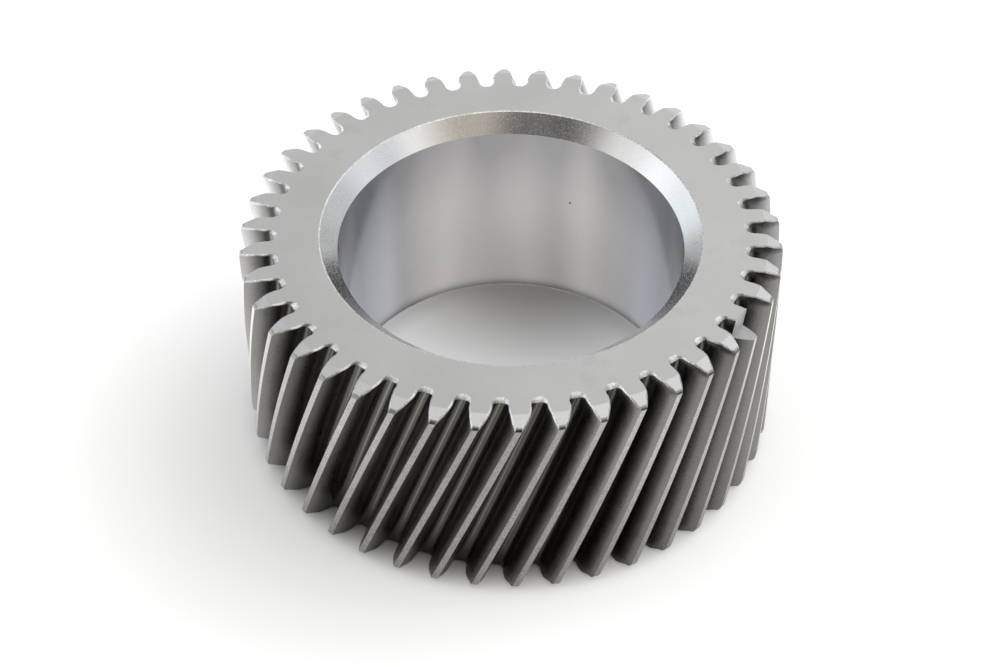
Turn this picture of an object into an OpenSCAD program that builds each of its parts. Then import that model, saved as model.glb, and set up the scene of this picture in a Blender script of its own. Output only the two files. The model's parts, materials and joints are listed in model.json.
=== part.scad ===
// Helical crankshaft gear: a hobbed steel ring that is shrunk on the nose of a crankshaft.
// The origin is at the middle of the plain end face, and +Z runs along the bore to the chamfered end.

/* [Teeth] */
// Number of teeth
teeth = 42; // [39:1:60]
// Normal module, which is the tooth pitch across the helix divided by pi
normal_module = 3; // [2.75:0.05:4]
// Normal pressure angle in degrees
pressure_angle = 14.5; // [14:0.5:18]
// Helix angle at the pitch circle in degrees, right-hand
helix_angle = 19.5; // [0:0.5:30]
// Height of a tooth above the pitch circle, in normal modules
addendum = 1.39; // [1:0.01:1.4]
// Depth of a gap below the pitch circle, in normal modules
dedendum = 1.52; // [1.2:0.01:1.6]
// Share of the pitch that the tooth takes at the pitch circle
tooth_share = 0.5; // [0.46:0.01:0.52]
// Radius of the fillet between flank and gap floor
root_fillet = 1.4; // [0.6:0.1:1.6]

/* [Body] */
// Width between the two end faces
face_width = 61; // [30:1:90]
// Diameter of the bore
bore_d = 91; // [60:0.5:94]
// Radial width of the chamfer at the top of the bore
bore_chamfer_width = 4.8; // [1:0.1:6]
// Axial depth of the chamfer at the top of the bore
bore_chamfer_depth = 4.45; // [1:0.05:8]
// Break of the bore's bottom edge
bore_break = 0.5; // [0.2:0.1:1.5]

/* [Edges] */
// Radial width of the shallow chamfer on the tooth tips, inside their small break
tip_chamfer_width = 3.3; // [1:0.1:5]
// Axial depth of the shallow chamfer on the tooth tips
tip_chamfer_depth = 1.2; // [0.4:0.1:3]
// Size of the small break between that chamfer and the top land
tip_break = 0.7; // [0.2:0.1:1.2]
// Break along the flank whose edge is sharp, which leans under the end face
sharp_break = 0.6; // [0.1:0.05:0.8]
// Break along the flank whose edge is blunt
blunt_break = 0.25; // [0.1:0.05:0.6]
// Axial depth of the breaks along both flanks
flank_break_depth = 0.6; // [0.2:0.1:1]
// Radial width of the break round the floor of each gap
gap_break = 1.4; // [0.4:0.1:1.8]
// Axial depth of the break round the floor of each gap
gap_break_depth = 1.3; // [0.4:0.1:1.8]
// Width of the fine edge between the end face and the bore's chamfer
mouth_edge_width = 0.4; // [0.1:0.1:0.9]
// Depth of that fine edge
mouth_edge_depth = 0.2; // [0.1:0.1:0.9]

/* [Marked tooth] */
// Direction of the marked tooth, seen from the chamfered end
mark_angle = -27.5; // [-180:0.5:180]
// Axial depth of the step cut in the marked tooth
mark_depth = 4.7; // [2:0.1:10]
// Radial depth of the step, from the tooth tips to its wall
mark_cut = 5.2; // [2:0.1:7]
// Turn of the wall away from square to the tooth
mark_turn = 6; // [0:1:10]

/* [Hidden] */

$fn = 96;
pitch_angle = 360 / teeth;
pitch_r = teeth * normal_module / (2 * cos(helix_angle));
transverse_angle = atan(tan(pressure_angle) / cos(helix_angle));
base_r = pitch_r * cos(transverse_angle);
tip_r = pitch_r + addendum * normal_module;
root_r = pitch_r - dedendum * normal_module;
// Degrees that the teeth turn for each millimetre along the axis
twist_rate = tan(helix_angle) / pitch_r * 180 / PI;

bore_r = bore_d / 2;
bore_mouth_r = bore_r + bore_chamfer_width;
overcut = 1;

quarter_turn = 90;

// Radius where the root fillet meets the flank, and the angle that the fillet takes of the gap
fillet_top_r = sqrt(pow(root_r + root_fillet, 2) - pow(root_fillet, 2));
fillet_span = asin(root_fillet / (root_r + root_fillet));

// Faces along a flank, round a fillet and along the helix
flank_steps = 3;
fillet_steps = 2;
helix_steps = 5;
half_points = flank_steps + fillet_steps + 1;
ring_points = 2 * half_points * teeth;

// Radius at which the tip chamfer starts on the end face
face_tip_r = tip_r - tip_break - tip_chamfer_width;

// Depth at which the tip land begins, and that at which the whole section is full
land_depth = tip_chamfer_depth + tip_break;
ring_step = 0.05;
full_depth = max(land_depth, gap_break_depth, tip_chamfer_depth + flank_break_depth) + ring_step;

// The step's wall, and its width from the middle of one gap to the middle of the next
mark_wall = tip_r - mark_cut;
mark_width = 2 * root_r * tan(pitch_angle / 2);

function involute(a) = tan(a) - a * PI / 180;

// Half the angle of a tooth at a radius, in degrees
function half_angle(r) =
    pitch_angle * tooth_share / 2
    + (involute(transverse_angle) - involute(acos(min(1, base_r / r)))) * 180 / PI;

function flank_point(tip, i) =
    let (r = tip + (fillet_top_r - tip) * i / flank_steps)
    [r, half_angle(r)];

function fillet_point(i) =
    let (
        foot = half_angle(fillet_top_r),
        start = foot - quarter_turn,
        turn = start + (fillet_span - quarter_turn) * i / fillet_steps,
        x = (root_r + root_fillet) * cos(foot + fillet_span) + root_fillet * cos(turn),
        y = (root_r + root_fillet) * sin(foot + fillet_span) + root_fillet * sin(turn)
    )
    [norm([x, y]), atan2(y, x)];

// One side of a tooth from its tip to the gap floor, as radius and angle from the tooth's middle
function half_tooth(tip) = [
    for (i = [0 : half_points - 1])
        i <= flank_steps ? flank_point(tip, i) : fillet_point(i - flank_steps)
];

// How much of the gap's break a point takes: none on the flank, all at the gap floor
function gap_share(i) = max(0, (i - flank_steps + 1) / (fillet_steps + 1));

// Depth of the tip chamfer's cone below the end face
function chamfer_fall(r) =
    max(0, r - face_tip_r) * tip_chamfer_depth / tip_chamfer_width;

face_half = half_tooth(face_tip_r);
break_half = half_tooth(tip_r - tip_break);
full_half = half_tooth(tip_r);

// The three rings at an end lie on the end face, where the breaks end and where the full tooth starts
face_level = 0;
break_level = 1;
full_level = 2;

// A point in one of those rings, for one side of a tooth.
// The result is the radius, the angle from the tooth's middle and the depth below the end face.
function end_point(level, i, edge_break) =
    let (
        p = [face_half, break_half, full_half][level][i],
        share = gap_share(i),
        at_corner = level == break_level && i == 0,
        inset = level == face_level || at_corner ? (1 - share) * edge_break : 0,
        lift = flank_break_depth + share * (gap_break_depth - flank_break_depth)
    )
    [
        p[0] - (level == face_level ? share * gap_break : 0),
        p[1] - inset / p[0] * 180 / PI,
        level == face_level ? 0
        : level == full_level ? (i == 0 ? land_depth : full_depth)
        : at_corner ? tip_chamfer_depth
        : chamfer_fall(p[0]) + lift
    ];

function at_height(r, angle, z) =
    let (a = mark_angle + angle + twist_rate * (z - face_width))
    [r * cos(a), r * sin(a), z];

// Ring of points near an end face; the sharp edge is on the leading side at the top and trails at the bottom
function end_ring(level, top) = [
    for (tooth = [0 : teeth - 1], j = [0 : 2 * half_points - 1])
        let (
            side = j < half_points ? -1 : 1,
            i = side < 0 ? half_points - 1 - j : j - half_points,
            sharp = (side > 0) == top,
            p = end_point(level, i, sharp ? sharp_break : blunt_break)
        )
        at_height(p[0], tooth * pitch_angle + side * p[1], top ? face_width - p[2] : p[2])
];

function plain_ring(z) = [
    for (tooth = [0 : teeth - 1], j = [0 : 2 * half_points - 1])
        let (
            side = j < half_points ? -1 : 1,
            p = full_half[side < 0 ? half_points - 1 - j : j - half_points]
        )
        at_height(p[0], tooth * pitch_angle + side * p[1], z)
];

// Solid toothed bar with both ends chamfered and broken
module toothed_bar() {
    inner_rings = [
        for (i = [1 : helix_steps - 1])
            plain_ring(full_depth + (face_width - 2 * full_depth) * i / helix_steps)
    ];
    rings = concat(
        [for (level = [face_level : full_level]) end_ring(level, false)],
        inner_rings,
        [for (level = [full_level : -1 : face_level]) end_ring(level, true)]
    );
    last = len(rings) - 1;
    points = concat([for (ring = rings) each ring], [[0, 0, 0], [0, 0, face_width]]);
    bottom_middle = len(points) - 2;
    top_middle = len(points) - 1;
    sides = [
        for (layer = [0 : last - 1], j = [0 : ring_points - 1])
            let (
                a = layer * ring_points + j,
                b = layer * ring_points + (j + 1) % ring_points,
                c = a + ring_points,
                d = b + ring_points
            )
            each [[a, c, b], [c, d, b]]
    ];
    ends = [
        for (j = [0 : ring_points - 1])
            let (k = (j + 1) % ring_points, top_start = last * ring_points)
            each [[bottom_middle, j, k], [top_middle, top_start + k, top_start + j]]
    ];
    polyhedron(points = points, faces = concat(sides, ends));
}

// Straight bore with a wide chamfer at the top and a small break at the bottom
module bore() {
    rotate_extrude()
        polygon([
            [0, -overcut],
            [bore_r + bore_break + overcut, -overcut],
            [bore_r, bore_break],
            [bore_r, face_width - bore_chamfer_depth],
            [bore_mouth_r - mouth_edge_width, face_width - mouth_edge_depth],
            [bore_mouth_r, face_width],
            [bore_mouth_r, face_width + overcut],
            [0, face_width + overcut]
        ]);
}

// Step that takes the tip off one tooth at the chamfered end, as a mark for setting the timing
module mark_step() {
    rotate([0, 0, mark_angle - twist_rate * mark_depth / 2])
        translate([mark_wall, 0, face_width - mark_depth])
            rotate([0, 0, -mark_turn])
                translate([0, -mark_width / 2, 0])
                    cube([mark_cut + overcut, mark_width, mark_depth + overcut]);
}

module crankshaft_gear() {
    color([0.70, 0.70, 0.68])
        difference() {
            toothed_bar();
            bore();
            mark_step();
        }
}

crankshaft_gear();
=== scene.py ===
import json
import math
import bmesh
import bpy
import numpy as np
from mathutils import Matrix, Vector


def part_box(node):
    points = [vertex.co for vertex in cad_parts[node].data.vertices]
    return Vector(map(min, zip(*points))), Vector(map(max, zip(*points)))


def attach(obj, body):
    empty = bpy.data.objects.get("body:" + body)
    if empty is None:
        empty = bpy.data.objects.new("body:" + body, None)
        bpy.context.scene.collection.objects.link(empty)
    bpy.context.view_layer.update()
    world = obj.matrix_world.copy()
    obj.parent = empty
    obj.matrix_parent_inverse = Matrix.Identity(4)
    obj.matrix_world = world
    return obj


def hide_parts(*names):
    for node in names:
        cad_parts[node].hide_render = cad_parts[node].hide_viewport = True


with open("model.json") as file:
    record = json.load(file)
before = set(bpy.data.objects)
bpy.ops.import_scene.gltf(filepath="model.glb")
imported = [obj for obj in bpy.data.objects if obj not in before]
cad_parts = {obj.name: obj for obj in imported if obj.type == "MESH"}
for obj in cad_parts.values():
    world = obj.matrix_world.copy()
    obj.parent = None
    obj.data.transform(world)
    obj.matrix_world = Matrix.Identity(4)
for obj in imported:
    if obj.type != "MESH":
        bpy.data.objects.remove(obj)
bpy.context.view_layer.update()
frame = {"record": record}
mm = 0.001

# Gear: lengths in millimetres, angles in degrees

gear = {
    "name": "toothedRing",
    "node": "crankshaft_gear",
    "slot": "gear_steel",
    "teeth": 42,
    "module": 3.0,              # normal to the helix
    "pressureAngle": 14.5,
    "helixAngle": 19.5,         # right-hand
    "addendum": 1.39,           # in modules
    "dedendum": 1.52,
    "toothShare": 0.5,
    "rootFillet": 1.4,
    "chamferWidth": 4.8,        # at the top of the bore
    "chamferDepth": 4.45,
    "mouthWidth": 0.4,          # fine edge between that chamfer and the end face
    "mouthDepth": 0.2,
    "boreBreak": 0.5,
    "tipChamferWidth": 3.3,     # shallow cone on the tooth tips
    "tipChamferDepth": 1.2,
    "tipBreak": 0.85,           # between that cone and the tip land
    "sharpBreak": 0.6,          # on the flank that leans under the end face
    "bluntBreak": 0.25,         # on the other flank
    "flankBreakDepth": 0.35,
    "gapBreak": 1.2,            # round each gap's floor
    "gapBreakDepth": 0.85,
    "footBreak": 2.0,           # the larger round of the tooth tips at the plain end
    "footDepth": 2.9,
    "footEdges": (1.0, 0.7),    # and of their sharp and blunt flanks
    "footEdgeDepth": 1.6,
    "breakRound": (0.2, 1.0),   # at the chamfered end and at the plain end: 0 is a flat break, 1 a quarter round
    "markAngle": -27.5,         # direction of the marked tooth at the chamfered end
    "markDepth": 4.7,           # of its step, along the axis
    "markCut": 5.2,             # from the tip in to the step's wall
    "markTurn": 6.0,            # of that wall away from square to the tooth
    "markBreak": 0.12,
    "landRelief": (0.22, 3.3),  # how far each flank leans in at its land, and the height that this takes
    "landSteps": 3,             # across the tip land
    "outerSteps": 6,            # down a flank to the foot of the tip chamfer
    "innerSteps": 6,            # and from there to the fillet
    "filletSteps": 7,
    "breakSteps": 5,
    "helixSteps": 18,
    "mouthSteps": 3,            # round each edge of the bore
    "mouthBend": 0.9,           # how near the mouth's curve runs to the corner it rounds, as a share of its depth
    "ringStep": 0.05,           # from the deepest break to the first full section
    "crispAngle": 32.0,
    "doubleSize": 0.0005,       # points nearer than this are merged
}
finishes = [
    "groundFace", "turnedChamfer", "honedBore", "hobbedFlank", "tipLand", "edgeBreak", "tipChamfer", "milledStep"]
kind = {name: i for i, name in enumerate(finishes)}

lowCorner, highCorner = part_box(gear["node"])
boreMount = next(m for m in frame["record"]["mounts"] if m["name"] == "bore")
faceWidth = (highCorner.z - lowCorner.z) / mm
boreR = boreMount["dims"]["r_mm"]
mouthR = boreR + gear["chamferWidth"]
helix = math.radians(gear["helixAngle"])
pitchAngle = 2 * math.pi / gear["teeth"]
pitchR = gear["teeth"] * gear["module"] / (2 * math.cos(helix))
pressure = math.atan(math.tan(math.radians(gear["pressureAngle"])) / math.cos(helix))
baseR = pitchR * math.cos(pressure)
tipR = pitchR + gear["addendum"] * gear["module"]
rootR = pitchR - gear["dedendum"] * gear["module"]
faceTipR = tipR - gear["tipBreak"] - gear["tipChamferWidth"]
filletR = gear["rootFillet"]
filletTopR = math.sqrt((rootR + filletR) ** 2 - filletR ** 2)
filletSpan = math.asin(filletR / (rootR + filletR))
twist = math.tan(helix) / pitchR                      # radians for each millimetre of depth
markAngle = math.radians(gear["markAngle"])
markTurn = math.radians(gear["markTurn"])
markMiddle = twist * gear["markDepth"] / 2            # how far the tooth has turned halfway down the step
markWall = (tipR - gear["markCut"]) * math.cos(markTurn)
landDepth = gear["tipChamferDepth"] + gear["tipBreak"]
fullDepth = max(landDepth, gear["footDepth"], gear["gapBreakDepth"]) + gear["ringStep"]
sidePoints = gear["outerSteps"] + gear["innerSteps"] + gear["filletSteps"] + 1
toothPoints = 2 * sidePoints + gear["landSteps"]
capStart = sidePoints - gear["outerSteps"]            # the tip that the step and the tip chamfer take in
capSteps = 2 * gear["outerSteps"] + gear["landSteps"]
ringPoints = toothPoints * gear["teeth"]


# Roll of an involute at a pressure angle: its tangent less the angle
def involute(angle):
    return np.tan(angle) - angle


# Half a tooth's angle at a radius: half its share of the pitch, and what the involute gains below the pitch circle
def halfAngle(r):
    flank = involute(pressure) - involute(np.arccos(np.minimum(1, baseR / r)))
    return pitchAngle * gear["toothShare"] / 2 + flank


# One side of each tooth from tip to gap floor. Flank radii run evenly from the tip to the split and from there to the
# fillet's top; the fillet is an arc that ends square to the gap floor. Near its land the flank leans in by the relief
# times the square of the share of the reach that is left. Gives radius and angle from the tooth's middle.
def toothSide(tip, split):
    outer = tip + (split - tip) * np.arange(gear["outerSteps"]) / gear["outerSteps"]
    inner = split + (filletTopR - split) * np.arange(gear["innerSteps"] + 1) / gear["innerSteps"]
    flank = np.concatenate([outer, inner], -1)
    relief, reach = gear["landRelief"]
    inset = relief * np.clip(1 - (tip - flank) / reach, 0, 1) ** 2
    foot = halfAngle(filletTopR)
    turn = foot - math.pi / 2 + (filletSpan - math.pi / 2) * np.arange(1, gear["filletSteps"] + 1) / gear["filletSteps"]
    x = (rootR + filletR) * math.cos(foot + filletSpan) + filletR * np.cos(turn)
    y = (rootR + filletR) * math.sin(foot + filletSpan) + filletR * np.sin(turn)
    shape = flank.shape[:-1] + x.shape
    r = np.concatenate([flank, np.broadcast_to(np.hypot(x, y), shape)], -1)
    angle = np.concatenate([halfAngle(flank) - inset / flank, np.broadcast_to(np.arctan2(y, x), shape)], -1)
    return r, angle


# Joins both sides of each tooth into its row of points: gap floor, left side, tip land, right side
def toothRow(left, right, gap):
    across = np.arange(1, gear["landSteps"]) / gear["landSteps"]
    land = left[..., :1] + (right[..., :1] - left[..., :1]) * across
    gap = np.broadcast_to(gap, left[..., :1].shape)
    return np.concatenate([gap, left[..., ::-1], land, right], -1)


# How much of the gap's break a point of one side takes: none on the flank, all at the gap floor, with a soft change
def gapShare():
    start = gear["outerSteps"] + gear["innerSteps"] - 2
    t = np.clip((np.arange(sidePoints) - start) / (sidePoints - 1 - start), 0, 1)
    return t * t * (3 - 2 * t)


# Rings of the teeth from one end inwards. Down the break, across goes from 1 to 0 and down from 0 to 1: a mean of a
# straight line and a quarter round, by the end's breakRound. The tip chamfer is a cone, and the break keeps its depth
# below that cone. At the plain end the tips and flanks take the larger foot sizes. Gives the rows of radius, angle and
# depth, and both shares.
def endRings(top):
    steps = np.arange(gear["breakSteps"] + 1) / gear["breakSteps"]
    bend = gear["breakRound"][0 if top else 1]
    across = (1 - steps) * (1 - bend) + (1 - np.sin(steps * math.pi / 2)) * bend
    down = steps * (1 - bend) + (1 - np.cos(steps * math.pi / 2)) * bend
    tipBreak = gear["tipBreak"] if top else gear["footBreak"]
    breakTipR = tipR - tipBreak
    across, down = np.append(1, across), np.append(0, down)      # the first ring lies in the end face
    levels, teeth = len(across), gear["teeth"]
    a, d = across[:, None, None, None], down[:, None, None, None]
    tip = np.broadcast_to(breakTipR + tipBreak * (1 - a), (levels, teeth, 2, 1)).copy()
    split = np.full((levels, teeth, 2, 1), faceTipR)
    if top:
        split[:, 0, :, 0] = wallCorner(0, gear["markBreak"] * across)
    r, angle = toothSide(tip, split)
    share = gapShare()
    edges = np.array([gear["bluntBreak"], gear["sharpBreak"]] if top else gear["footEdges"])
    edgeDepth = gear["flankBreakDepth"] if top else gear["footEdgeDepth"]
    angle = angle - (1 - share) * edges[:, None] * a / r
    slope = gear["tipChamferDepth"] / gear["tipChamferWidth"]
    fall = np.clip(r - faceTipR, 0, breakTipR - faceTipR) * slope
    tipShare = np.clip((r - breakTipR) / tipBreak, 0, 1)
    endDepth = (landDepth if top else gear["footDepth"]) - (breakTipR - faceTipR) * slope
    lift = edgeDepth + share * (gear["gapBreakDepth"] - edgeDepth)
    lift = lift + tipShare * (endDepth - edgeDepth)
    depth = fall + lift * d
    gapDepth = gear["gapBreakDepth"] * d[..., 0]
    r = r - share * gear["gapBreak"] * a
    rows = [toothRow(r[:, :, 0], r[:, :, 1], rootR - gear["gapBreak"] * a[..., 0]),
            toothRow(-angle[:, :, 0], angle[:, :, 1], -pitchAngle / 2),
            toothRow(depth[:, :, 0], depth[:, :, 1], gapDepth)]
    rows = [row.copy() for row in rows]
    # The first ring cuts the tips off at the foot of the chamfer and spreads their points along that arc
    cap = slice(capStart, capStart + capSteps + 1)
    along = np.linspace(0, 1, capSteps + 1)
    left, right = rows[1][0, :, cap.start, None], rows[1][0, :, cap.stop - 1, None]
    rows[0][0, :, cap] = faceTipR
    rows[1][0, :, cap] = left + (right - left) * along
    rows[2][0, :, cap] = 0
    if top:
        for row in rows:
            row[0, 0] = row[1, 0]                                # the marked tooth has no tip chamfer
    return rows, across, down


# Radius at which each flank of the marked tooth meets the step's wall: r = wall / cos(angle), put in again eight times
def wallCorner(depth, inset):
    depth, inset = np.atleast_1d(depth)[:, None], np.atleast_1d(inset)[:, None]
    side = np.array([-1, 1])
    r = np.full((max(len(depth), len(inset)), 2), markWall)
    for _ in range(8):
        r = (markWall - inset) / np.cos(side * halfAngle(r) + markMiddle - twist * depth + markTurn)
    return r


# Full sections at the given depths, with the marked tooth's points split at the step's wall where it is cut
def plainRings(depths, cut):
    shape = (len(depths), gear["teeth"], 2, 1)
    split = np.full(shape, faceTipR)
    split[:, 0, :, 0] = np.where(np.array(cut)[:, None], wallCorner(np.minimum(depths, gear["markDepth"]), 0), faceTipR)
    r, angle = toothSide(np.full(shape, tipR), split)
    depth = np.broadcast_to(np.array(depths)[:, None, None], (len(depths), gear["teeth"], toothPoints))
    return [toothRow(r[:, :, 0], r[:, :, 1], rootR), toothRow(-angle[:, :, 0], angle[:, :, 1], -pitchAngle / 2), depth]


# Polar rows to points: each tooth is a turn of the first, and all of it turns with the depth along the helix
def ringPlaces(rows):
    r, angle, depth = rows
    tooth = np.arange(gear["teeth"])[:, None] * pitchAngle
    turn = markAngle + tooth + angle - twist * depth
    return np.stack([r * np.cos(turn), r * np.sin(turn), faceWidth - depth], -1)


# Moves what the marked tooth has outside the step's wall straight back onto that wall
def cutStep(places, inset, edgeDepth):
    turn = markAngle - markMiddle - markTurn
    normal = np.array([math.cos(turn), math.sin(turn)])
    tooth = places[:, 0]
    out = tooth[..., :2] @ normal - (markWall - np.atleast_1d(inset)[:, None])
    tooth[..., :2] -= np.maximum(out, 0)[..., None] * normal
    if edgeDepth is not None:
        tooth[..., 2] = np.where(out > 0, faceWidth - edgeDepth[:, None], tooth[..., 2])


# Rings of the whole toothed surface from the chamfered end to the plain one. At the step's foot there are two: one cut
# by its wall and one full. Gives the places, the count of rings at an end and the number of the first full ring.
def buildToothRings():
    topRows, across, down = endRings(True)
    top = ringPlaces(topRows)
    cutStep(top, gear["markBreak"] * across, gear["markBreak"] * down)
    helixDepths = np.linspace(fullDepth, faceWidth - fullDepth, gear["helixSteps"] + 1)
    above = helixDepths[helixDepths < gear["markDepth"]]
    below = helixDepths[helixDepths > gear["markDepth"]]
    depths = np.concatenate([above, [gear["markDepth"]] * 2, below])
    cut = depths <= gear["markDepth"]
    middle = ringPlaces(plainRings(depths, cut))
    upper = middle[:len(above) + 1]
    cutStep(upper, 0, None)
    bottomRows = endRings(False)[0]
    bottomRows[2] = faceWidth - bottomRows[2]
    bottom = ringPlaces(bottomRows)[::-1]
    places = np.concatenate([top, middle, bottom]).reshape(-1, ringPoints, 3)
    return places, len(top), len(top) + len(above) + 1


# Finish of each face between two rings of teeth, by its place across the tooth. The first and last strips are the tip
# chamfers. The chamfered end has bright broken edges, apart from those of the lands, and the feet have none.
def toothFinishes(strips, endStrips, stepStrip):
    across = np.full(toothPoints, kind["hobbedFlank"])
    land = slice(sidePoints, sidePoints + gear["landSteps"])
    across[land] = kind["tipLand"]
    finish = np.tile(across, (strips, gear["teeth"], 1))
    finish[0] = finish[-1] = kind["tipChamfer"]
    finish[1:endStrips - 1] = kind["edgeBreak"]
    finish[1:endStrips - 1, :, land] = kind["hobbedFlank"]
    finish[:stepStrip, 0, capStart:capStart + capSteps] = kind["milledStep"]
    return finish.reshape(strips, ringPoints)


# Profile of the bore from the bottom face up: a small round, the straight wall, the chamfer and its round edge
def boreProfile():
    bottomTurn = np.linspace(math.pi / 2, 0, gear["mouthSteps"] + 1)
    size = gear["boreBreak"]
    bottom = np.stack([boreR + size - size * np.cos(bottomTurn), size - size * np.sin(bottomTurn)], 1)
    wallTop = [[boreR, faceWidth - gear["chamferDepth"]]]
    t = np.linspace(0, 1, gear["mouthSteps"] + 1)[:, None]
    edgeFoot = np.array([mouthR - gear["mouthWidth"], faceWidth - gear["mouthDepth"]])
    slope = np.array([gear["chamferWidth"] - gear["mouthWidth"], gear["chamferDepth"] - gear["mouthDepth"]])
    corner = edgeFoot + slope * gear["mouthDepth"] * gear["mouthBend"] / slope[1]
    mouth = edgeFoot * (1 - t) ** 2 + corner * 2 * t * (1 - t) + np.array([mouthR, faceWidth]) * t ** 2
    return np.concatenate([bottom, wallTop, mouth])


# The closed ring: toothed surface, bottom face, bore and top face, each a strip between two rings of points
def buildGear():
    teethPlaces, endCount, stepRing = buildToothRings()
    profile = boreProfile()
    turn = markAngle - pitchAngle / 2 + np.arange(ringPoints) * 2 * math.pi / ringPoints
    bore = np.stack([profile[:, :1] * np.cos(turn), profile[:, :1] * np.sin(turn), profile[:, 1:] + 0 * turn], -1)
    places = np.concatenate([teethPlaces, bore])
    index = np.arange(len(places) * ringPoints).reshape(len(places), ringPoints)
    teethCount = len(teethPlaces)
    # The bottom face joins columns that stand above each other, which the helix has moved round
    shift = round(twist * faceWidth / (2 * math.pi / ringPoints))
    pairs = [(index[i], index[i + 1]) for i in range(teethCount - 1)]
    pairs += [(index[teethCount - 1], np.roll(index[teethCount], shift))]
    pairs += [(index[i], index[i + 1]) for i in range(teethCount, len(index) - 1)] + [(index[-1], index[0])]
    quads = np.stack([np.stack([a, b, np.roll(b, -1), np.roll(a, -1)], -1) for a, b in pairs])
    boreStrips = len(profile) - 1
    boreFinish = np.full(boreStrips, kind["edgeBreak"])
    boreFinish[gear["mouthSteps"]] = kind["honedBore"]
    boreFinish[gear["mouthSteps"] + 1] = kind["turnedChamfer"]
    finish = np.concatenate([
        toothFinishes(teethCount - 1, endCount, stepRing),
        np.full((1, ringPoints), kind["groundFace"]),
        np.tile(boreFinish[:, None], (1, ringPoints)),
        np.full((1, ringPoints), kind["groundFace"])])
    mesh = bpy.data.meshes.new(gear["name"])
    mesh.from_pydata((places.reshape(-1, 3) * mm).tolist(), [], quads.reshape(-1, 4).tolist())
    mesh.polygons.foreach_set("material_index", finish.ravel().astype(np.int32))
    tidyMesh(mesh)
    piece = bpy.data.objects.new(gear["name"], mesh)
    bpy.context.scene.collection.objects.link(piece)
    return piece


# Merges doubles, then keeps an edge crisp where the surface turns by more than crispAngle or the finish changes, apart
# from where a break runs into a land or a flank
def tidyMesh(mesh):
    work = bmesh.new()
    work.from_mesh(mesh)
    bmesh.ops.remove_doubles(work, verts=work.verts, dist=gear["doubleSize"] * mm)
    work.to_mesh(mesh)
    openEdges = sum(not edge.is_manifold for edge in work.edges)
    work.free()
    mesh.shade_smooth()
    edgeOfLoop, corners = np.zeros(len(mesh.loops), np.int32), np.zeros(len(mesh.polygons), np.int32)
    finish, normals = np.zeros(len(mesh.polygons), np.int32), np.zeros(len(mesh.polygons) * 3)
    mesh.loops.foreach_get("edge_index", edgeOfLoop)
    mesh.polygons.foreach_get("loop_total", corners)
    mesh.polygons.foreach_get("material_index", finish)
    mesh.polygons.foreach_get("normal", normals)
    faceOfLoop = np.repeat(np.arange(len(mesh.polygons)), corners)
    sides = faceOfLoop[np.argsort(edgeOfLoop, kind="stable")].reshape(-1, 2)
    normals = normals.reshape(-1, 3)[sides]
    turned = (normals[:, 0] * normals[:, 1]).sum(1) < math.cos(math.radians(gear["crispAngle"]))
    crisp = mesh.attributes.new("sharp_edge", "BOOLEAN", "EDGE")
    softer = np.isin(finish, [kind["edgeBreak"], kind["tipLand"], kind["hobbedFlank"]])[sides].all(1)
    softer &= (finish[sides] == kind["edgeBreak"]).any(1)
    crisp.data.foreach_set("value", turned | ((finish[sides[:, 0]] != finish[sides[:, 1]]) & ~softer))
    print("gear mesh:", len(mesh.polygons), "faces,", openEdges, "open edges")


toothedRing = buildGear()

# Shader maths


# A socket that takes part in sums: each operator adds a Math node
class Signal:
    def __init__(self, paint, socket):
        self.paint, self.socket = paint, socket

    def __add__(self, other):
        return self.paint.maths("ADD", self, other)

    def __sub__(self, other):
        return self.paint.maths("SUBTRACT", self, other)

    def __rsub__(self, other):
        return self.paint.maths("SUBTRACT", other, self)

    def __mul__(self, other):
        return self.paint.maths("MULTIPLY", self, other)

    def __truediv__(self, other):
        return self.paint.maths("DIVIDE", self, other)

    __radd__ = __add__
    __rmul__ = __mul__


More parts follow.
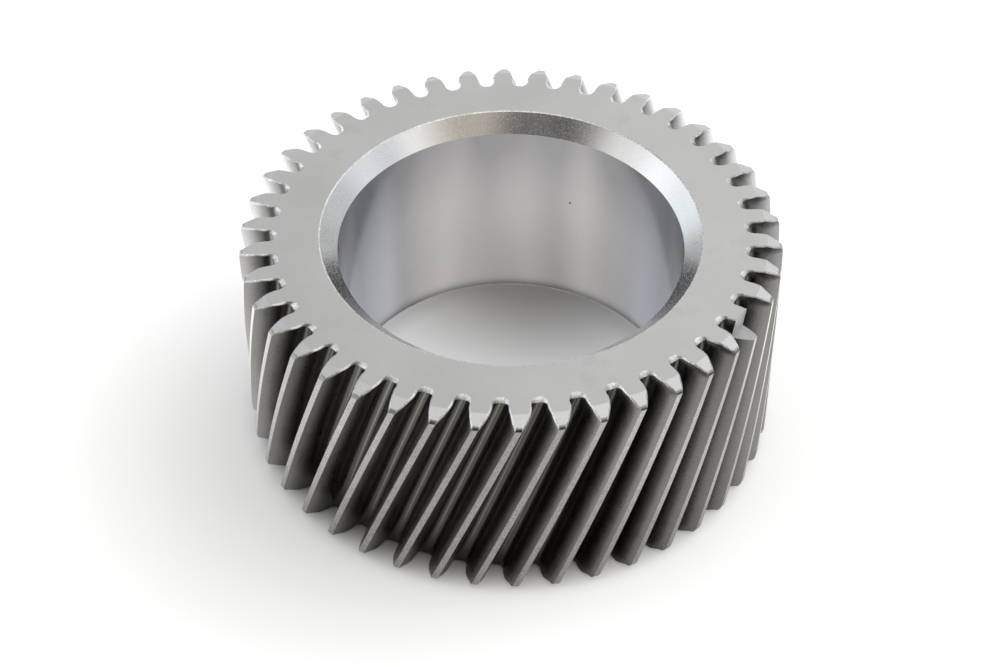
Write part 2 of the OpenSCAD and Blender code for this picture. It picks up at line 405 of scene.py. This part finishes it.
# One node tree, of a material or of the world
class Paint:
    def __init__(self, name, world=False):
        self.owner = bpy.data.worlds.new(name) if world else bpy.data.materials.new(name)
        self.owner.use_nodes = True
        self.tree = self.owner.node_tree
        self.tree.nodes.clear()

    # Adds a node: its settings first, then a value or a signal for each named or numbered socket
    def node(self, kindName, settings, values, output=0):
        made = self.tree.nodes.new(kindName)
        for name, value in settings.items():
            setattr(made, name, value)
        for name, value in values.items():
            if isinstance(value, Signal):
                self.tree.links.new(value.socket, made.inputs[name])
            else:
                made.inputs[name].default_value = value
        return Signal(self, made.outputs[output])

    def maths(self, operation, *values):
        return self.node("ShaderNodeMath", {"operation": operation}, dict(enumerate(values)))

    # Vector Math; some of its operations give a number
    def vector(self, operation, *values):
        output = "Value" if operation in ("LENGTH", "DISTANCE", "DOT_PRODUCT") else "Vector"
        return self.node("ShaderNodeVectorMath", {"operation": operation}, dict(enumerate(values)), output)

    def scaled(self, vector, factor):
        return self.node("ShaderNodeVectorMath", {"operation": "SCALE"}, {0: vector, "Scale": factor})

    def rotated(self, vector, angle):
        return self.node("ShaderNodeVectorRotate", {"rotation_type": "Z_AXIS"}, {"Vector": vector, "Angle": angle})

    def axis(self, vector, name):
        return self.node("ShaderNodeSeparateXYZ", {}, {0: vector}, name)

    # Mixes two colours, each a signal or three numbers
    def mix(self, share, first, second, blendType="MIX", clamp=True):
        first, second = (value if isinstance(value, Signal) else (*value, 1) for value in (first, second))
        settings = {"data_type": "RGBA", "blend_type": blendType, "clamp_factor": clamp}
        return self.node("ShaderNodeMix", settings, {0: share, 6: first, 7: second}, 2)

    # Noise about zero, from -0.5 to 0.5
    def noise(self, place, scale, detail=1):
        return self.node("ShaderNodeTexNoise", {}, {"Vector": place, "Scale": scale, "Detail": detail}) - 0.5

    # Smooth step from 0 to 1 between two values
    def blend(self, signal, low, high):
        return self.node("ShaderNodeMapRange", {"interpolation_type": "SMOOTHSTEP"}, {
            "Value": signal, "From Min": low, "From Max": high})

    # A round spot: its middle, the radii between which it changes, and its strength within and outside them
    def spot(self, place, settings):
        middle, inner, outer, within, outside = settings
        return self.blend(self.vector("DISTANCE", place, middle), inner, outer) * (outside - within) + within

    def output(self, shader):
        kindName = "ShaderNodeOutputWorld" if isinstance(self.owner, bpy.types.World) else "ShaderNodeOutputMaterial"
        made = self.tree.nodes.new(kindName)
        self.tree.links.new(shader.socket, made.inputs["Surface"])
        return self.owner


# Finishes of the steel. Colours run from dark to light with the shade; lengths are millimetres. A grain is noise on
# (direction from the axis x around, height x up + radius x out), so a small "around" gives turned rings and a large
# one gives streaks along the teeth, which follow the helix where the finish "leans". An "edge" is the pair of values
# between which a mark fades in.

looks = {
    "groundFace": {
        "dark": (0.545, 0.542, 0.525), "light": (0.650, 0.655, 0.648), "roughness": 0.42, "brushed": 0.0,
        "grain": {"around": 30, "up": 0, "out": 0.9, "detail": 3, "shade": 0.08, "rough": 0.02, "height": 0.0},
        "speckle": {"size": 0.45, "shade": 0.30, "rough": 0.10, "height": 0.0025},
        "cloud": {"size": 22, "shade": 0.45, "rough": 0.05},
        "scratches": {"families": ((0.6, 9, 0.16), (2.1, 7, 0.21)), "offset": 0.13, "width": 0.006, "shade": 0.35},
        "smudges": {"scale": 0.09, "edge": (0.12, 0.22), "shade": 0.4}},
    "turnedChamfer": {
        "dark": (0.60, 0.59, 0.575), "light": (0.86, 0.865, 0.87), "roughness": 0.15, "brushed": 0.5,
        "grain": {"around": 3, "up": 3.5, "out": 0, "detail": 3, "shade": 0.12, "rough": 0.04, "height": 0.0003},
        "speckle": {"size": 0.35, "shade": 0.35, "rough": 0.30, "height": 0.0024},
        "cloud": {"size": 12, "shade": 0.15, "rough": 0.05},
        "softSides": {"edge": (26, 46), "rough": 0.11, "smooth": 0.75}},    # by the distance from the plane x = 0
    "honedBore": {
        "dark": (0.43, 0.42, 0.42), "light": (0.81, 0.785, 0.775), "roughness": 0.15, "brushed": 0.7,
        # Its grain is a painted reflection: broad soft bands, lighter and darker, around the wall
        "grain": {"around": 2.6, "up": 0.006, "out": 0, "detail": 1, "shade": 0.70, "rough": 0.05, "height": 0.0},
        "speckle": {"size": 0.6, "shade": 0.06, "rough": 0.04, "height": 0.0002},
        "cloud": {"size": 16, "shade": 0.10, "rough": 0.05},
        "top": {"edge": (28, 58), "shade": 0.50},                       # painted shade towards the top, by the height, and so is the painted shade at the foot
        "foot": {"edge": (0.5, 5.0), "shade": 0.40},
        "sides": {"edge": (24, 43), "filter": (0.80, 0.87, 0.98)},      # painted reflection, bluer at the sides, by the distance from the plane x = 0
        "nick": {"place": (16.4, 42.4, 34.3), "edge": (0.25, 0.45), "filter": (0.25, 0.24, 0.23)},
        # painted contact shadow: a dark line at the foot of the wall where it meets the table
        "contact": {"edge": (0.2, 3.0), "filter": (0.5, 0.5, 0.5)}},
    "hobbedFlank": {
        "dark": (0.150, 0.142, 0.130), "light": (0.350, 0.337, 0.318), "roughness": 0.33, "brushed": 0.0,
        "leans": True,
        "grain": {"around": 160, "up": 0.02, "out": 1.2, "detail": 2, "shade": 0.06, "rough": 0.05, "height": 0.0004},
        "speckle": {"size": 0.50, "shade": 0.45, "rough": 0.12, "height": 0.0024},
        "cloud": {"size": 6, "shade": 0.30, "rough": 0.05},
        "root": 3.0,                # height above the gap's floor at which the flank's painted shade starts to fade and it grows lighter
        # The painted highlight fades away from the gap's middle and above its floor, and starts near the table
        "streak": {"edge": (0.08, 0.36), "above": (0.1, 0.2), "rise": (0, 20), "shade": 1.1},
        "back": {"edge": (-35, 20), "factor": (1.40, 1.46, 1.56)}},     # painted light, by y, which grows towards the back
    "tipLand": {
        "dark": (0.37, 0.355, 0.34), "light": (0.76, 0.745, 0.72), "roughness": 0.36, "brushed": 0.0,
        "leans": True,
        "grain": {"around": 30, "up": 1.2, "out": 0, "detail": 3, "shade": 0.20, "rough": 0.08, "height": 0.0010},
        "speckle": {"size": 0.40, "shade": 0.90, "rough": 0.20, "height": 0.0070},
        "cloud": {"size": 10, "shade": 0.15, "rough": 0.05}},
    "edgeBreak": {
        "dark": (0.42, 0.42, 0.415), "light": (0.96, 0.96, 0.95), "roughness": 0.42, "brushed": 0.0,
        "grain": {"around": 90, "up": 1.5, "out": 1.5, "detail": 3, "shade": 0.70, "rough": 0.15, "height": 0.022},
        "speckle": {"size": 0.45, "shade": 0.80, "rough": 0.10, "height": 0.012},
        "cloud": {"size": 6, "shade": 0.30, "rough": 0.0}},
    "tipChamfer": {
        "dark": (0.50, 0.50, 0.495), "light": (0.74, 0.74, 0.74), "roughness": 0.50, "brushed": 0.0,
        "grain": {"around": 8, "up": 0, "out": 5.0, "detail": 3, "shade": 0.35, "rough": 0.05, "height": 0.0020},
        "speckle": {"size": 0.40, "shade": 0.35, "rough": 0.10, "height": 0.0060},
        "cloud": {"size": 10, "shade": 0.15, "rough": 0.0}},
    "milledStep": {
        "dark": (0.40, 0.40, 0.41), "light": (0.66, 0.66, 0.66), "roughness": 0.38, "brushed": 0.0,
        "grain": {"around": 150, "up": 2.0, "out": 2.0, "detail": 3, "shade": 0.25, "rough": 0.08, "height": 0.0020},
        "speckle": {"size": 0.5, "shade": 0.20, "rough": 0.08, "height": 0.0020},
        "cloud": {"size": 3, "shade": 0.30, "rough": 0.0}},
}


# The ground face has scratches, each where a noise stretched along one direction crosses an offset, and smudges
def groundShade(paint, look, point, shade):
    scratches, smudges = look["scratches"], look["smudges"]
    for turn, stretch, scale in scratches["families"]:
        across = paint.vector("MULTIPLY", paint.rotated(point, turn), (1, stretch, 1))
        line = paint.maths("ABSOLUTE", paint.noise(across, scale) - scratches["offset"])
        shade = shade - (1 - paint.blend(line, 0, scratches["width"])) * scratches["shade"]
    return shade - paint.blend(paint.noise(point, smudges["scale"], detail=4), *smudges["edge"]) * smudges["shade"]


# The bore's wall has painted shade: it grows darker towards its top and at its foot
def boreShade(paint, look, point, shade):
    height, top, foot = paint.axis(point, "Z"), look["top"], look["foot"]
    shade = shade - paint.blend(height, *top["edge"]) * top["shade"]
    return shade - (1 - paint.blend(height, *foot["edge"])) * foot["shade"]


# A flank has painted shade, darkest at its root and lighter towards its tip. Each gap's floor has a painted
# highlight, a light streak along its middle, which is found from the number of teeth between the point and the marked
# tooth, with the helix taken out.
def flankShade(paint, look, point, shade):
    x, y, height = (paint.axis(point, name) for name in "XYZ")
    radius = paint.vector("LENGTH", paint.vector("MULTIPLY", point, (1, 1, 0)))
    shade = shade + paint.blend(radius, rootR + look["root"], tipR) - 0.5
    streak = look["streak"]
    tooth = (paint.maths("ARCTAN2", y, x) - markAngle + (faceWidth - height) * twist) / pitchAngle
    fromGap = paint.maths("PINGPONG", tooth + 0.5, 0.5) * (pitchAngle * rootR)
    above = paint.blend(radius, *(rootR + step for step in streak["above"]))
    floor = (1 - paint.blend(fromGap, *streak["edge"])) * (1 - above)
    return shade + floor * paint.blend(height, *streak["rise"]) * streak["shade"]


# The bore has a painted reflection that makes it bluer at its sides, one nick, and a painted contact shadow, a dark
# line where it meets the table
def boreColour(paint, look, point, colour):
    sides, nick, contact = look["sides"], look["nick"], look["contact"]
    aside = paint.maths("ABSOLUTE", paint.axis(point, "X"))
    colour = paint.mix(paint.blend(aside, *sides["edge"]), colour, sides["filter"], "MULTIPLY")
    away = paint.blend(paint.vector("DISTANCE", point, nick["place"]), *nick["edge"])
    colour = paint.mix(1 - away, colour, nick["filter"], "MULTIPLY")
    above = paint.blend(paint.axis(point, "Z"), *contact["edge"])
    return paint.mix(1 - above, colour, contact["filter"], "MULTIPLY")


# Painted light: the flanks are lighter and greyer at the back of the ring
def flankPaintedLight(paint, look, point, colour):
    back = look["back"]
    paler = paint.vector("MULTIPLY", colour, back["factor"])
    return paint.mix(paint.blend(paint.axis(point, "Y"), *back["edge"]), colour, paler)


shadeMarks = {"groundFace": groundShade, "honedBore": boreShade, "hobbedFlank": flankShade}
colourMarks = {"honedBore": boreColour, "hobbedFlank": flankPaintedLight}


# One finish: shade, roughness and height are each a sum of the three noises, taken about their middle, and some
# finishes have marks of their own
def steel(name, look):
    paint = Paint(name)
    point = paint.scaled(paint.node("ShaderNodeTexCoord", {}, {}, "Object"), 1 / mm)
    height = paint.axis(point, "Z")
    turned = paint.rotated(point, height * -twist) if look.get("leans") else point
    level = paint.vector("MULTIPLY", turned, (1, 1, 0))
    grain, speckle, cloud = look["grain"], look["speckle"], look["cloud"]
    rise = height * grain["up"] + paint.vector("LENGTH", level) * grain["out"]
    rise = paint.node("ShaderNodeCombineXYZ", {}, {"Z": rise})
    spread = paint.vector("ADD", paint.scaled(paint.vector("NORMALIZE", level), grain["around"]), rise)
    noises = [
        (grain, paint.noise(spread, 1, detail=grain["detail"])),
        (speckle, paint.noise(point, 1 / speckle["size"], detail=2)),
        (cloud, paint.noise(point, 1 / cloud["size"], detail=3))]
    shade, rough, bump = 0.5, look["roughness"], 0
    for settings, noise in noises:
        shade = noise * (2 * settings["shade"]) + shade
        rough = noise * (2 * settings["rough"]) + rough
        bump = noise * settings.get("height", 0) + bump
    if name in shadeMarks:
        shade = shadeMarks[name](paint, look, point, shade)
    if "softSides" in look:
        soft = look["softSides"]
        share = paint.blend(paint.maths("ABSOLUTE", paint.axis(point, "X")), *soft["edge"])
        rough, bump = rough + share * soft["rough"], bump * (1 - share * soft["smooth"])
    colour = paint.mix(shade, look["dark"], look["light"])
    if name in colourMarks:
        colour = colourMarks[name](paint, look, point, colour)
    normal = paint.node("ShaderNodeBump", {}, {"Height": bump, "Distance": mm, "Strength": 1.0})
    shader = paint.node("ShaderNodeBsdfPrincipled", {}, {
        "Base Color": colour, "Metallic": 1.0, "Roughness": rough, "Normal": normal, "Anisotropic": look["brushed"]})
    return paint.output(shader)


for finish in finishes:
    toothedRing.data.materials.append(steel(finish, looks[finish]))

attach(toothedRing, "root")
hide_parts(gear["node"])
print("steel ready")

# Studio: a dome of soft light over a pale table, in metres. Directions are degrees: azimuth from the camera's side
# turning right, then elevation. A spot is its middle, the radii between which it changes, and its strength within and
# outside them. An edge is the pair of values between which a glow fades in.
# The lights' strengths were not chosen by hand: a program fitted them to the photograph's tones. So was the shadow.

studio = {
    "floorSize": 4.0,
    "floorDrop": 0.0001,        # how far the table lies under the gear
    "floorColour": 0.80,
    "shadow": ((-0.053, -0.016, 0), 0.025, 0.103, 0.265, 0.483),
    "contact": ((-0.0012, 0.0, 0), 0.060, 0.075, 0.0, 1.0),     # painted contact shadow: darkens the table towards the feet of the teeth
    "boreEdge": (boreR * mm, (boreR + 3) * mm),     # radii between which the table inside the bore ends
    "boreShadow": ((0.008, 0.054, 0), 0.010, 0.064, 0.0, 1.0),
    # Painted shadow: the table darkens towards the bore's wall
    "boreRim": ((0, 0, 0), (boreR - 8) * mm, boreR * mm, 1.0, 0.65),
    "boreShade": 0.30,          # how much darker the table is at the middle of the bore's shadow
    "boreLift": 0.32,           # how much the table glows inside the bore outside that shadow
    "boreGlow": 0.36,           # what the bore's wall sees of the table inside it
    "sideGlow": 0.37,           # what the teeth see of the table at the gear's left and right
    "sideMiddle": -0.004,
    "sideEdge": (0.045, 0.085),
    "backGlow": 0.80,           # and what they see of it behind the gear
    "backEdge": (-0.03, 0.03),
    "softness": (13, 36),       # degrees from a light's middle at which it starts to fade and ends
    "lights": [                 # azimuth, elevation, strength, colour
        (-150, 15, 0.39, (0.98, 1.00, 1.02)),       # low row on the left
        (-110, 15, 1.03, (0.93, 1.00, 1.06)),
        (-70, 15, 1.00, (0.98, 1.00, 1.02)),
        (110, 15, 0.35, (0.94, 1.00, 1.04)),        # low row on the right and behind
        (150, 15, 0.47, (0.99, 1.00, 1.01)),
        (180, 15, 0.51, (1.00, 1.00, 1.00)),
        (-135, 45, 0.25, (1.00, 1.00, 1.00)),       # high row on the left
        (-90, 45, 0.48, (1.02, 1.00, 0.98)),
        (-45, 45, 0.13, (1.03, 1.00, 0.95)),
        (45, 45, 0.50, (1.10, 1.00, 0.87)),         # high row on the right and behind
        (90, 45, 0.72, (0.94, 1.00, 1.05)),
        (135, 45, 0.95, (1.00, 1.00, 1.00)),
        (180, 45, 0.34, (1.00, 1.00, 0.99)),
        (0, 85, 1.36, (1.01, 1.00, 0.98)),          # the large light overhead
    ],
}


# A unit vector from azimuth and elevation
def toward(azimuth, elevation):
    a, e = math.radians(azimuth), math.radians(elevation)
    return (math.sin(a) * math.cos(e), -math.cos(a) * math.cos(e), math.sin(e))


# The dome is the sum of the soft lights: each fades with the angle between the ray and the light's middle
def makeDome():
    paint = Paint("studioDome", world=True)
    direction = paint.node("ShaderNodeTexCoord", {}, {}, "Generated")
    total = (0, 0, 0)
    start, stop = (math.radians(angle) for angle in studio["softness"])
    for azimuth, elevation, strength, colour in studio["lights"]:
        angle = paint.maths("ARCCOSINE", paint.vector("DOT_PRODUCT", direction, toward(azimuth, elevation)))
        share = (1 - paint.blend(angle, start, stop)) * strength
        total = paint.mix(share, total, colour, "ADD", clamp=False)
    isCamera = paint.node("ShaderNodeLightPath", {}, {}, "Is Camera Ray")
    shade = paint.mix(isCamera, total, (1, 1, 1))
    return paint.output(paint.node("ShaderNodeBackground", {}, {"Color": shade}))


bpy.context.scene.world = makeDome()


# The table is a diffuse sheet, and a glow that only the camera and reflections see lifts it to white. The camera sees
# less of the glow in a painted shadow, at the feet of the teeth and at the back of the bore; reflections see it inside
# the bore, beside the gear and behind it.
def makeTable():
    half, drop = studio["floorSize"] / 2, studio["floorDrop"]
    corners = [(-half, -half, -drop), (half, -half, -drop), (half, half, -drop), (-half, half, -drop)]
    mesh = bpy.data.meshes.new("studioTable")
    mesh.from_pydata(corners, [], [(0, 1, 2, 3)])
    table = bpy.data.objects.new("studioTable", mesh)
    bpy.context.scene.collection.objects.link(table)
    paint = Paint("paleTable")
    point = paint.node("ShaderNodeTexCoord", {}, {}, "Object")
    isCamera = paint.node("ShaderNodeLightPath", {}, {}, "Is Camera Ray")
    isGlossy = paint.node("ShaderNodeLightPath", {}, {}, "Is Glossy Ray")
    inside = 1 - paint.blend(paint.vector("LENGTH", point), *studio["boreEdge"])
    lit = paint.spot(point, studio["boreShadow"]) * paint.spot(point, studio["boreRim"])
    seen = paint.spot(point, studio["shadow"]) * paint.spot(point, studio["contact"])
    seen = seen + lit * inside * studio["boreLift"]
    aside = paint.maths("ABSOLUTE", paint.axis(point, "X") - studio["sideMiddle"])
    around = paint.blend(aside, *studio["sideEdge"]) * studio["sideGlow"]
    around = around + paint.blend(paint.axis(point, "Y"), *studio["backEdge"]) * studio["backGlow"]
    reflected = inside * studio["boreGlow"] + (1 - inside) * around
    strength = seen * isCamera + reflected * isGlossy
    glow = paint.node("ShaderNodeEmission", {}, {"Color": (1, 1, 1, 1), "Strength": strength})
    # Painted shadow: the table's own colour is darker at the back of the bore and towards its wall
    shade = 1 - (1 - lit) * inside * studio["boreShade"]
    colour = paint.scaled((studio["floorColour"],) * 3, shade)
    diffuse = paint.node("ShaderNodeBsdfDiffuse", {}, {"Color": colour})
    mesh.materials.append(paint.output(paint.node("ShaderNodeAddShader", {}, {0: diffuse, 1: glow})))


makeTable()
print("studio ready")

# Camera: the photograph's own view, found from its tooth tips and its bore circles

view = {
    "focal": 2527.41,           # in pixels of a picture 1000 wide
    "pictureWidth": 1000,
    "sensor": 36.0,
    "elevation": 41.4922,
    "distance": 0.66080,        # to the middle of the chamfered end face, in metres
    "pan": -0.2274,
    "tilt": -2.3162,
    "roll": -0.6178,
    "clip": (0.01, 20),
}


# The camera looks at the middle of the top face from the front, then turns by pan, tilt and roll about its own axes
def placeCamera():
    camera = bpy.data.cameras.new("photoCamera")
    camera.sensor_width = view["sensor"]
    camera.lens = view["focal"] / view["pictureWidth"] * view["sensor"]
    camera.clip_start, camera.clip_end = view["clip"]
    holder = bpy.data.objects.new("photoCamera", camera)
    e = math.radians(view["elevation"])
    target = Vector((0, 0, faceWidth * mm))
    away = Vector((0, -math.cos(e), math.sin(e)))
    right, forward = Vector((1, 0, 0)), -away
    axes = Matrix((right, right.cross(forward), forward))
    pan = Matrix.Rotation(math.radians(view["pan"]), 3, "Y")
    tilt = Matrix.Rotation(math.radians(view["tilt"]), 3, "X")
    roll = Matrix.Rotation(math.radians(view["roll"]), 3, "Z")
    axes = roll @ tilt @ pan.transposed() @ axes
    turned = Matrix((axes[0], axes[1], -axes[2])).transposed()
    holder.matrix_world = Matrix.Translation(target + away * view["distance"]) @ turned.to_4x4()
    bpy.context.scene.collection.objects.link(holder)
    bpy.context.scene.camera = holder


placeCamera()
bpy.context.scene.view_settings.view_transform = "Standard"

print("scene ready")
